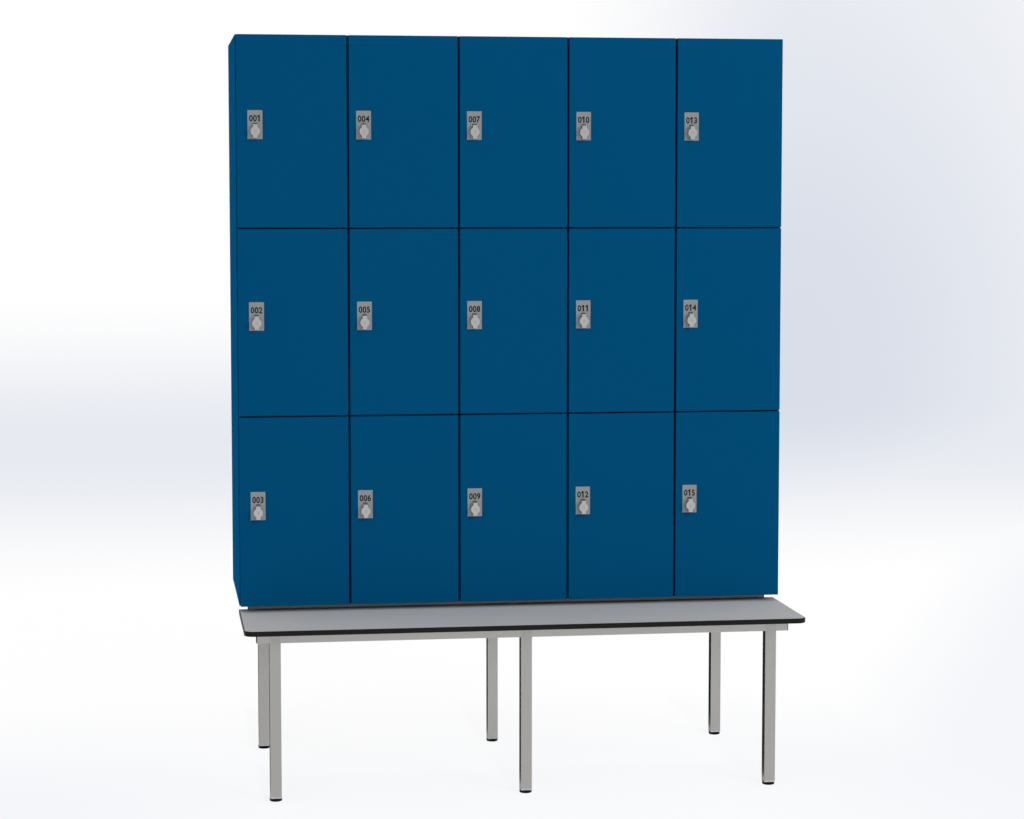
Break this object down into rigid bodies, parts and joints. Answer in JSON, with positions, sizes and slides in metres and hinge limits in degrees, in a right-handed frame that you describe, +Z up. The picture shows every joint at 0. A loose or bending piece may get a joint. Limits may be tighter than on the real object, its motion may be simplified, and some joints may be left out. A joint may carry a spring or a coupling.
{
  "type": "locker with bench",
  "caption": "Free-standing block of small lockers with turn-knob locks, carried on a square-tube bench frame whose front half holds a seat board.",
  "frame": {"origin": "on the floor, at the middle of the object's footprint", "axes": "+Z up, front towards -Y, +X to the right seen from the front"},
  "size_m": [1.5, 0.825, 2.0231],
  "materials": {
    "blue_board": "blue laminate, satin",
    "seat_laminate": "grey compact laminate with a black core",
    "grey_tube": "grey powder coat",
    "lock_grey": "grey, satin",
    "knob_grey": "light grey, satin"
  },
  "bodies": {
    "cabinet": {"side_left": "blue_board", "side_right": "blue_board", "top_panel": "blue_board", "bottom_panel": "blue_board", "back_panel": "blue_board", "partition_1": "blue_board", "partition_2": "blue_board", "partition_3": "blue_board", "partition_4": "blue_board", "shelf_lower": "blue_board", "shelf_upper": "blue_board", "seat_board": "seat_laminate", "bench_frame": "grey_tube", "bearer_front": "grey_tube", "bearer_back": "grey_tube"},
    "door_01": {"door_01": "blue_board", "lock_case_01": "lock_grey"},
    "knob_01": {"lock_knob_01": "knob_grey"},
    "door_02": {"door_02": "blue_board", "lock_case_02": "lock_grey"},
    "knob_02": {"lock_knob_02": "knob_grey"},
    "door_03": {"door_03": "blue_board", "lock_case_03": "lock_grey"},
    "knob_03": {"lock_knob_03": "knob_grey"},
    "door_04": {"door_04": "blue_board", "lock_case_04": "lock_grey"},
    "knob_04": {"lock_knob_04": "knob_grey"},
    "door_05": {"door_05": "blue_board", "lock_case_05": "lock_grey"},
    "knob_05": {"lock_knob_05": "knob_grey"},
    "door_06": {"door_06": "blue_board", "lock_case_06": "lock_grey"},
    "knob_06": {"lock_knob_06": "knob_grey"},
    "door_07": {"door_07": "blue_board", "lock_case_07": "lock_grey"},
    "knob_07": {"lock_knob_07": "knob_grey"},
    "door_08": {"door_08": "blue_board", "lock_case_08": "lock_grey"},
    "knob_08": {"lock_knob_08": "knob_grey"},
    "door_09": {"door_09": "blue_board", "lock_case_09": "lock_grey"},
    "knob_09": {"lock_knob_09": "knob_grey"},
    "door_10": {"door_10": "blue_board", "lock_case_10": "lock_grey"},
    "knob_10": {"lock_knob_10": "knob_grey"},
    "door_11": {"door_11": "blue_board", "lock_case_11": "lock_grey"},
    "knob_11": {"lock_knob_11": "knob_grey"},
    "door_12": {"door_12": "blue_board", "lock_case_12": "lock_grey"},
    "knob_12": {"lock_knob_12": "knob_grey"},
    "door_13": {"door_13": "blue_board", "lock_case_13": "lock_grey"},
    "knob_13": {"lock_knob_13": "knob_grey"},
    "door_14": {"door_14": "blue_board", "lock_case_14": "lock_grey"},
    "knob_14": {"lock_knob_14": "knob_grey"},
    "door_15": {"door_15": "blue_board", "lock_case_15": "lock_grey"},
    "knob_15": {"lock_knob_15": "knob_grey"}
  },
  "joints": [
    {"name": "door_01_hinge", "type": "hinge", "parent": "cabinet", "child": "door_01", "pos_m": [-0.459, -0.0995, 1.5086], "axis": [0, 0, 1], "range_deg": [0, 95]},
    {"name": "lock_01_turn", "type": "hinge", "parent": "door_01", "child": "knob_01", "pos_m": [-0.6983, -0.1085, 1.7656], "axis": [0, 1, 0], "range_deg": [0, 90]},
    {"name": "door_02_hinge", "type": "hinge", "parent": "cabinet", "child": "door_02", "pos_m": [-0.459, -0.0995, 1.0016], "axis": [0, 0, 1], "range_deg": [0, 95]},
    {"name": "lock_02_turn", "type": "hinge", "parent": "door_02", "child": "knob_02", "pos_m": [-0.6983, -0.1085, 1.2531], "axis": [0, 1, 0], "range_deg": [0, 90]},
    {"name": "door_03_hinge", "type": "hinge", "parent": "cabinet", "child": "door_03", "pos_m": [-0.459, -0.0995, 0.4836], "axis": [0, 0, 1], "range_deg": [0, 95]},
    {"name": "lock_03_turn", "type": "hinge", "parent": "door_03", "child": "knob_03", "pos_m": [-0.6983, -0.1085, 0.7406], "axis": [0, 1, 0], "range_deg": [0, 90]},
    {"name": "door_04_hinge", "type": "hinge", "parent": "cabinet", "child": "door_04", "pos_m": [-0.159, -0.0995, 1.5086], "axis": [0, 0, 1], "range_deg": [0, 95]},
    {"name": "lock_04_turn", "type": "hinge", "parent": "door_04", "child": "knob_04", "pos_m": [-0.4078, -0.1085, 1.7656], "axis": [0, 1, 0], "range_deg": [0, 90]},
    {"name": "door_05_hinge", "type": "hinge", "parent": "cabinet", "child": "door_05", "pos_m": [-0.159, -0.0995, 1.0016], "axis": [0, 0, 1], "range_deg": [0, 95]},
    {"name": "lock_05_turn", "type": "hinge", "parent": "door_05", "child": "knob_05", "pos_m": [-0.4078, -0.1085, 1.2531], "axis": [0, 1, 0], "range_deg": [0, 90]},
    {"name": "door_06_hinge", "type": "hinge", "parent": "cabinet", "child": "door_06", "pos_m": [-0.159, -0.0995, 0.4836], "axis": [0, 0, 1], "range_deg": [0, 95]},
    {"name": "lock_06_turn", "type": "hinge", "parent": "door_06", "child": "knob_06", "pos_m": [-0.4078, -0.1085, 0.7406], "axis": [0, 1, 0], "range_deg": [0, 90]},
    {"name": "door_07_hinge", "type": "hinge", "parent": "cabinet", "child": "door_07", "pos_m": [0.141, -0.0995, 1.5086], "axis": [0, 0, 1], "range_deg": [0, 95]},
    {"name": "lock_07_turn", "type": "hinge", "parent": "door_07", "child": "knob_07", "pos_m": [-0.1078, -0.1085, 1.7656], "axis": [0, 1, 0], "range_deg": [0, 90]},
    {"name": "door_08_hinge", "type": "hinge", "parent": "cabinet", "child": "door_08", "pos_m": [0.141, -0.0995, 1.0016], "axis": [0, 0, 1], "range_deg": [0, 95]},
    {"name": "lock_08_turn", "type": "hinge", "parent": "door_08", "child": "knob_08", "pos_m": [-0.1078, -0.1085, 1.2531], "axis": [0, 1, 0], "range_deg": [0, 90]},
    {"name": "door_09_hinge", "type": "hinge", "parent": "cabinet", "child": "door_09", "pos_m": [0.141, -0.0995, 0.4836], "axis": [0, 0, 1], "range_deg": [0, 95]},
    {"name": "lock_09_turn", "type": "hinge", "parent": "door_09", "child": "knob_09", "pos_m": [-0.1078, -0.1085, 0.7406], "axis": [0, 1, 0], "range_deg": [0, 90]},
    {"name": "door_10_hinge", "type": "hinge", "parent": "cabinet", "child": "door_10", "pos_m": [0.441, -0.0995, 1.5086], "axis": [0, 0, 1], "range_deg": [0, 95]},
    {"name": "lock_10_turn", "type": "hinge", "parent": "door_10", "child": "knob_10", "pos_m": [0.1922, -0.1085, 1.7656], "axis": [0, 1, 0], "range_deg": [0, 90]},
    {"name": "door_11_hinge", "type": "hinge", "parent": "cabinet", "child": "door_11", "pos_m": [0.441, -0.0995, 1.0016], "axis": [0, 0, 1], "range_deg": [0, 95]},
    {"name": "lock_11_turn", "type": "hinge", "parent": "door_11", "child": "knob_11", "pos_m": [0.1922, -0.1085, 1.2531], "axis": [0, 1, 0], "range_deg": [0, 90]},
    {"name": "door_12_hinge", "type": "hinge", "parent": "cabinet", "child": "door_12", "pos_m": [0.441, -0.0995, 0.4836], "axis": [0, 0, 1], "range_deg": [0, 95]},
    {"name": "lock_12_turn", "type": "hinge", "parent": "door_12", "child": "knob_12", "pos_m": [0.1922, -0.1085, 0.7406], "axis": [0, 1, 0], "range_deg": [0, 90]},
    {"name": "door_13_hinge", "type": "hinge", "parent": "cabinet", "child": "door_13", "pos_m": [0.741, -0.0995, 1.5086], "axis": [0, 0, 1], "range_deg": [0, 95]},
    {"name": "lock_13_turn", "type": "hinge", "parent": "door_13", "child": "knob_13", "pos_m": [0.4922, -0.1085, 1.7656], "axis": [0, 1, 0], "range_deg": [0, 90]},
    {"name": "door_14_hinge", "type": "hinge", "parent": "cabinet", "child": "door_14", "pos_m": [0.741, -0.0995, 1.0016], "axis": [0, 0, 1], "range_deg": [0, 95]},
    {"name": "lock_14_turn", "type": "hinge", "parent": "door_14", "child": "knob_14", "pos_m": [0.4922, -0.1085, 1.2531], "axis": [0, 1, 0], "range_deg": [0, 90]},
    {"name": "door_15_hinge", "type": "hinge", "parent": "cabinet", "child": "door_15", "pos_m": [0.741, -0.0995, 0.4836], "axis": [0, 0, 1], "range_deg": [0, 95]},
    {"name": "lock_15_turn", "type": "hinge", "parent": "door_15", "child": "knob_15", "pos_m": [0.4922, -0.1085, 0.7406], "axis": [0, 1, 0], "range_deg": [0, 90]}
  ]
}
